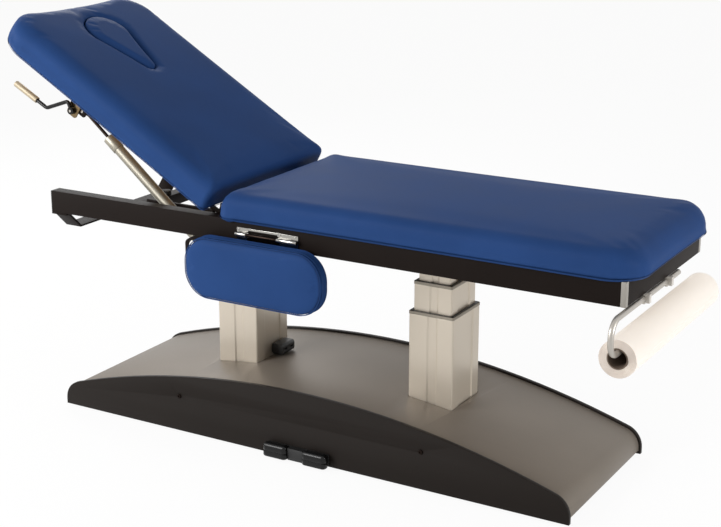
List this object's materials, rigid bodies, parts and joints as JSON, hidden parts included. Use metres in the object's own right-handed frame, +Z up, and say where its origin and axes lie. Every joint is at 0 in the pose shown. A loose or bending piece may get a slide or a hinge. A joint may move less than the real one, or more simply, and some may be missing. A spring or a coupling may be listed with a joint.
{
  "type": "electric treatment table",
  "caption": "Padded treatment table with a tilting head section, face hole plug, folding arm pad and paper roll, lifted by telescopic columns on an arched base",
  "frame": {"origin": "on the floor, under the middle of the base", "axes": "+X towards the foot end, +Y towards the far side, +Z up"},
  "size_m": [2.0867, 0.722, 1.2357],
  "materials": {
    "upholstery": "fine-grained vinyl, satin",
    "frame_black": "satin powder coat",
    "panel_black": "satin powder coat",
    "cover_grey": "satin powder coat",
    "column_alu": "satin anodised",
    "collar_grey": "moulded",
    "box_black": "moulded",
    "pedal_black": "moulded, glossy",
    "rubber_black": "matte",
    "screw_dark": "blackened",
    "steel": "turned",
    "post_grey": "silver-grey satin",
    "strut_grey": "silver-grey",
    "strut_black": "blackened, polished",
    "lever_brass": "yellow zinc plated",
    "grip_grey": "moulded",
    "chrome": "polished",
    "rod_silver": "satin",
    "plywood": "raw",
    "paper": "crepe paper",
    "card": "cardboard"
  },
  "bodies": {
    "base": {"base_frame": "frame_black", "side_panel_near": "panel_black", "side_panel_far": "panel_black", "panel_screws": "screw_dark", "arched_cover": "cover_grey", "panel_posts": "frame_black", "levelling_feet": "rubber_black", "control_box": "box_black", "mains_inlet": "box_black", "columns_outer": "column_alu", "outer_collars": "collar_grey", "actuator_tubes": "steel", "lift_motors": "box_black", "charging_outlet": "box_black", "pedal_bracket": "box_black", "pedal_shaft": "steel"},
    "up_pedal": {"pedal_up": "pedal_black"},
    "down_pedal": {"pedal_down": "pedal_black"},
    "middle_stage": {"columns_middle": "column_alu", "middle_collars": "collar_grey"},
    "bed": {"columns_inner": "column_alu", "column_head_plates": "frame_black", "push_rods": "steel", "rail_near": "frame_black", "rail_far": "frame_black", "corner_posts": "post_grey", "rail_end_caps": "box_black", "foot_rail": "frame_black", "column_bearers": "frame_black", "cross_member": "frame_black", "rest_pads": "rubber_black", "head_cross_strap": "frame_black", "hinge_ears": "frame_black", "hinge_pins": "steel", "seat_board": "plywood", "seat_cushion": "upholstery", "strut_foot_bracket": "frame_black", "arm_hinge_bracket": "chrome", "arm_hinge_pin": "chrome", "paper_rod": "rod_silver", "rod_clips": "box_black"},
    "head": {"head_hinge_arms": "frame_black", "head_board": "plywood", "head_cushion": "upholstery", "strut_head_bracket": "frame_black", "strut_head_pin": "steel", "lever_bracket": "lever_brass", "lever_pin": "steel", "strut_rod": "strut_black"},
    "plug": {"face_plug": "upholstery"},
    "lever": {"release_lever": "frame_black", "lever_grip": "grip_grey"},
    "strut": {"strut_cylinder": "strut_grey", "strut_collar": "strut_grey", "strut_foot_pin": "steel"},
    "arm_pad": {"arm_pad_cushion": "upholstery", "arm_pad_board": "plywood", "arm_hinge_leaf": "chrome"},
    "roll": {"paper_core": "card", "paper_roll": "paper"}
  },
  "joints": [
    {"name": "table_lift", "type": "slide", "parent": "base", "child": "bed", "axis": [0, 0, 1], "range_m": [-0.15, 0.2]},
    {"name": "middle_stage_lift", "type": "slide", "parent": "base", "child": "middle_stage", "axis": [0, 0, 1], "range_m": [-0.076, 0.101]},
    {"name": "head_tilt", "type": "hinge", "parent": "bed", "child": "head", "pos_m": [-0.254, 0, 0.735], "axis": [0, 1, 0], "range_deg": [-30.5, 17.5]},
    {"name": "strut_slide", "type": "slide", "parent": "head", "child": "strut", "axis": [0.7636, 0, -0.6457], "range_m": [-0.0892, 0.0515]},
    {"name": "face_plug_lift", "type": "slide", "parent": "head", "child": "plug", "axis": [0.5075, 0, 0.8616], "range_m": [0, 0.12]},
    {"name": "release_lever_pull", "type": "hinge", "parent": "head", "child": "lever", "pos_m": [-0.81113, -0.242, 0.95756], "axis": [0, 1, 0], "range_deg": [0, 12], "stiffness_Nm_per_rad": 6, "springref_deg": -11.46},
    {"name": "arm_pad_fold", "type": "hinge", "parent": "bed", "child": "arm_pad", "pos_m": [-0.071, -0.3015, 0.676], "axis": [-1, 0, 0], "range_deg": [0, 90]},
    {"name": "paper_roll_spin", "type": "hinge", "parent": "bed", "child": "roll", "pos_m": [0.994, 0.005, 0.5203], "axis": [0, 1, 0], "continuous": true},
    {"name": "up_pedal_press", "type": "hinge", "parent": "base", "child": "up_pedal", "pos_m": [-0.052, -0.289, 0.039], "axis": [1, 0, 0], "range_deg": [0, 8], "stiffness_Nm_per_rad": 6, "springref_deg": -8.59},
    {"name": "down_pedal_press", "type": "hinge", "parent": "base", "child": "down_pedal", "pos_m": [0.082, -0.289, 0.039], "axis": [1, 0, 0], "range_deg": [0, 8], "stiffness_Nm_per_rad": 6, "springref_deg": -8.59}
  ],
  "couplings": [
    {"joint": "middle_stage_lift", "follows": "table_lift", "ratio": 0.5},
    {"joint": "strut_slide", "follows": "head_tilt", "m_per_rad": 0.1664}
  ]
}
